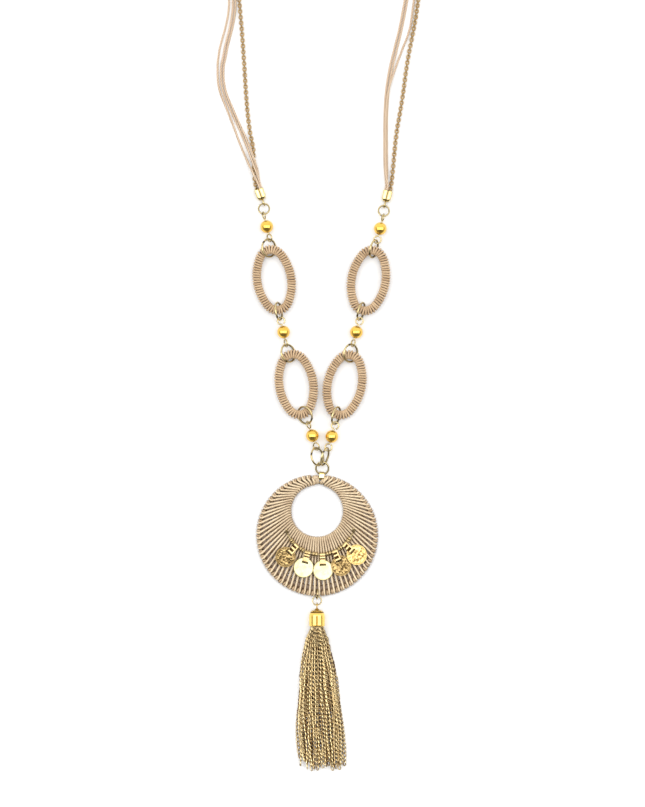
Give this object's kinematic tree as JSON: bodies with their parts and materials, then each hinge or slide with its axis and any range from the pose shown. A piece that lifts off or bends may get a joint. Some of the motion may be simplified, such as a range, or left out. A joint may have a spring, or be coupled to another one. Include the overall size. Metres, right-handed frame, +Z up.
{
  "type": "tassel necklace",
  "caption": "Long necklace of chain and waxed threads with wound ovals and beads, a laced disc with coins, and a chain tassel, laid flat.",
  "frame": {"origin": "on the surface that the necklace lies on, under the middle of its outline", "axes": "+Y runs up the necklace from the tassel to the nape, +X to the right, +Z up from the surface"},
  "size_m": [0.1288, 0.5397, 0.0087],
  "materials": {
    "antique_chain": "antique gold plate, worn on its high sides",
    "antique_brass": "antique pale brass",
    "polished_gold": "polished gold plate",
    "mirror_gold": "mirror polished",
    "antique_gold": "hammered and darkened in its low parts",
    "waxed_thread": "twisted waxed cord",
    "lacing_thread": "matt twisted thread",
    "wound_thread": "glossy wound thread"
  },
  "bodies": {
    "root": {"neck_chain": "antique_chain", "thread_inner": "waxed_thread", "thread_middle": "waxed_thread", "thread_outer": "waxed_thread", "cord_end_left": "polished_gold", "cord_end_right": "polished_gold", "ring_a_left": "antique_brass", "ring_b_left": "antique_brass", "ring_c_left": "antique_brass", "ring_d_left": "antique_brass", "ring_e_left": "antique_brass", "ring_f_left": "antique_brass", "ring_a_right": "antique_brass", "ring_b_right": "antique_brass", "ring_c_right": "antique_brass", "ring_d_right": "antique_brass", "ring_e_right": "antique_brass", "ring_f_right": "antique_brass", "pin_1_left": "antique_brass", "pin_2_left": "antique_brass", "pin_3_left": "antique_brass", "pin_1_right": "antique_brass", "pin_2_right": "antique_brass", "pin_3_right": "antique_brass", "bead_1_left": "polished_gold", "bead_2_left": "polished_gold", "bead_3_left": "polished_gold", "bead_1_right": "polished_gold", "bead_2_right": "polished_gold", "bead_3_right": "polished_gold", "wound_oval_1_left": "wound_thread", "wound_oval_2_left": "wound_thread", "wound_oval_1_right": "wound_thread", "wound_oval_2_right": "wound_thread", "bail_ring": "antique_brass", "rim_strap": "polished_gold", "rim_hoop": "antique_brass", "inner_hoop": "antique_brass", "lacing": "lacing_thread", "coin_wire": "antique_brass", "spacer_tubes": "polished_gold", "coin_1": "antique_gold", "coin_2": "mirror_gold", "coin_3": "mirror_gold", "coin_4": "antique_gold", "coin_5": "antique_gold", "coin_strip_1": "polished_gold", "coin_strip_2": "polished_gold", "coin_strip_3": "polished_gold", "coin_strip_4": "polished_gold", "coin_strip_5": "polished_gold", "rim_loop": "antique_brass", "tassel_ring": "antique_brass", "tassel_cap": "polished_gold", "tassel": "antique_chain"}
  },
  "joints": []
}
